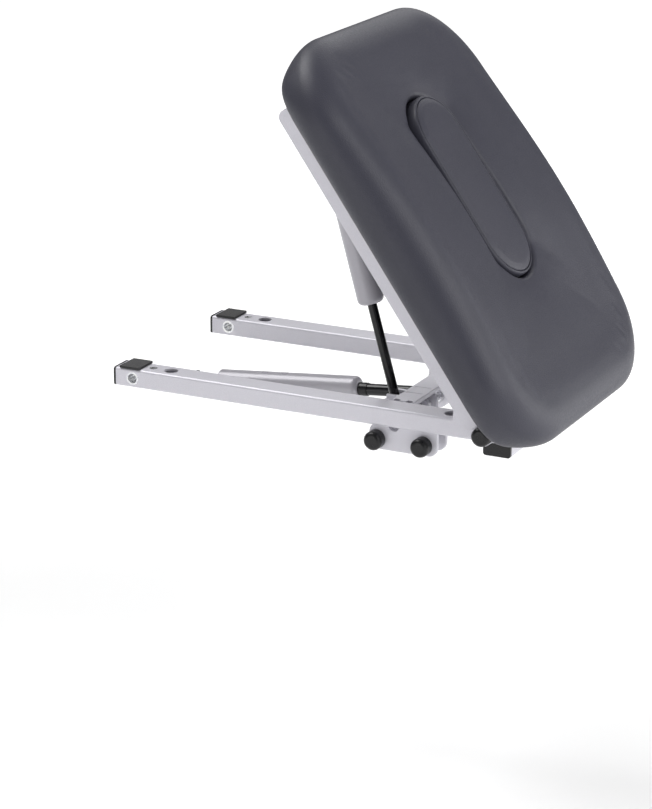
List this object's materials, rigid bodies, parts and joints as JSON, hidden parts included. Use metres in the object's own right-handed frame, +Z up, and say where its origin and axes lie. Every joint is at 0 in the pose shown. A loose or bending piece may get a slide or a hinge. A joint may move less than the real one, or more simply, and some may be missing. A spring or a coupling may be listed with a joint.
{
  "type": "tilting face cradle",
  "caption": "Tilting padded face cradle with a removable slot plug, hinged on two carrier rails and held up by lockable gas struts, for a treatment couch.",
  "frame": {"origin": "centre of the couch pivot, midway between the rails and at mid-height of the rail tube", "axes": "+X along the rails away from the couch, +Y across the unit along the pivot, +Z up with the rails level; stored with the cushion raised 54.8 degrees"},
  "size_m": [0.5097, 0.363, 0.4455],
  "materials": {
    "frame_paint": "satin silver-grey powder coat",
    "strut_paint": "smooth light grey enamel",
    "plated_steel": "bright zinc plate",
    "black_rod": "glossy black nitrided steel",
    "black_plastic": "moulded, slightly glossy",
    "black_felt": "dense felt pad",
    "black_cloth": "non-woven dust cover",
    "plywood": "birch plywood",
    "foam": "open-cell polyurethane foam",
    "vinyl": "dark slate-grey vinyl with fine grain"
  },
  "bodies": {
    "carrier": {"near_rail": "frame_paint", "far_rail": "frame_paint", "couch_pivot_bushes": "plated_steel", "hinge_bushes": "plated_steel", "rail_end_plugs": "black_plastic", "rest_pads": "black_felt", "rest_pad_screws": "plated_steel", "crossbar": "frame_paint", "tilt_strut_clevis": "frame_paint", "lift_strut_clevis": "frame_paint", "clevis_bolts": "plated_steel", "clevis_nuts": "plated_steel", "outer_bracket_plates": "frame_paint", "inner_bracket_plates": "frame_paint", "bracket_screws": "plated_steel", "strut_bar": "plated_steel", "tie_bar": "plated_steel", "bar_end_caps": "black_plastic", "end_cross_tube": "frame_paint", "end_tube_plugs": "black_plastic", "hinge_pins": "plated_steel", "hinge_washers": "plated_steel", "hinge_nuts": "plated_steel", "hinge_end_caps": "black_plastic"},
    "cushion": {"near_side_angle": "frame_paint", "far_side_angle": "frame_paint", "hinge_ears": "frame_paint", "lower_crossmember": "frame_paint", "upper_crossmember": "frame_paint", "strut_top_bracket": "frame_paint", "strut_top_bolts": "plated_steel", "cushion_board": "plywood", "cushion_foam": "foam", "cushion_cover": "vinyl", "dust_cover": "black_cloth", "cover_staples": "plated_steel", "cushion_screws": "plated_steel", "t_nuts": "plated_steel"},
    "plug": {"plug_cover": "vinyl", "plug_foam": "foam", "plug_base": "plywood"},
    "tilt_strut_rod_end": {"tilt_strut_release_head": "frame_paint", "tilt_strut_release_pin": "plated_steel", "tilt_strut_rod": "black_rod", "tilt_strut_piston": "plated_steel"},
    "tilt_strut_tube": {"tilt_strut_cylinder": "strut_paint", "tilt_strut_rod_guide": "black_plastic", "tilt_strut_end_eye": "plated_steel"},
    "tilt_release": {"tilt_strut_release_arm": "plated_steel"},
    "tilt_plunger": {"tilt_strut_plunger": "plated_steel"},
    "lift_strut_rod_end": {"lift_strut_release_head": "frame_paint", "lift_strut_release_pin": "plated_steel", "lift_strut_rod": "black_rod", "lift_strut_piston": "plated_steel"},
    "lift_strut_tube": {"lift_strut_cylinder": "strut_paint", "lift_strut_rod_guide": "black_plastic", "lift_strut_end_eye": "plated_steel", "lift_strut_wiper": "black_plastic"},
    "lift_release": {"lift_strut_release_arm": "plated_steel"},
    "lift_plunger": {"lift_strut_plunger": "plated_steel"}
  },
  "joints": [
    {"name": "tilt", "type": "hinge", "parent": "carrier", "child": "cushion", "pos_m": [0.405, 0, 0], "axis": [0, 1, 0], "range_deg": [-54.8, 0]},
    {"name": "plug_lift", "type": "slide", "parent": "cushion", "child": "plug", "axis": [0.8171, 0, 0.5764], "range_m": [0, 0.07]},
    {"name": "tilt_strut_swing", "type": "hinge", "parent": "carrier", "child": "tilt_strut_rod_end", "pos_m": [0.281, -0.054, -0.0265], "axis": [0, 1, 0], "range_deg": [-73, 0.5]},
    {"name": "tilt_strut_stroke", "type": "slide", "parent": "tilt_strut_rod_end", "child": "tilt_strut_tube", "axis": [-0.2732, 0, 0.962], "range_m": [-0.0915, 0.0005]},
    {"name": "lift_strut_swing", "type": "hinge", "parent": "carrier", "child": "lift_strut_rod_end", "pos_m": [0.281, 0.054, -0.0265], "axis": [0, 1, 0], "range_deg": [-4, 8]},
    {"name": "lift_strut_stroke", "type": "slide", "parent": "lift_strut_rod_end", "child": "lift_strut_tube", "axis": [-0.9957, 0, -0.0924], "range_m": [-0.06, 0.03]},
    {"name": "tilt_release_pull", "type": "hinge", "parent": "tilt_strut_rod_end", "child": "tilt_release", "pos_m": [0.26975, -0.054, -0.01618], "axis": [0, -1, 0], "range_deg": [0, 8], "stiffness_Nm_per_rad": 0.6, "springref_deg": -5.73},
    {"name": "tilt_plunger_press", "type": "slide", "parent": "tilt_strut_rod_end", "child": "tilt_plunger", "axis": [-0.2732, 0, 0.962], "range_m": [0, 0.0012]},
    {"name": "lift_release_pull", "type": "hinge", "parent": "lift_strut_rod_end", "child": "lift_release", "pos_m": [0.2688, 0.054, -0.03567], "axis": [0, -1, 0], "range_deg": [0, 8], "stiffness_Nm_per_rad": 0.6, "springref_deg": -5.73},
    {"name": "lift_plunger_press", "type": "slide", "parent": "lift_strut_rod_end", "child": "lift_plunger", "axis": [-0.9957, 0, -0.0924], "range_m": [0, 0.0012]}
  ],
  "couplings": [
    {"joint": "tilt_strut_swing", "follows": "tilt", "ratio": 1.3192},
    {"joint": "tilt_strut_stroke", "follows": "tilt", "m_per_rad": 0.09466},
    {"joint": "tilt_plunger_press", "follows": "tilt_release_pull", "m_per_rad": 0.008},
    {"joint": "lift_plunger_press", "follows": "lift_release_pull", "m_per_rad": 0.008}
  ]
}
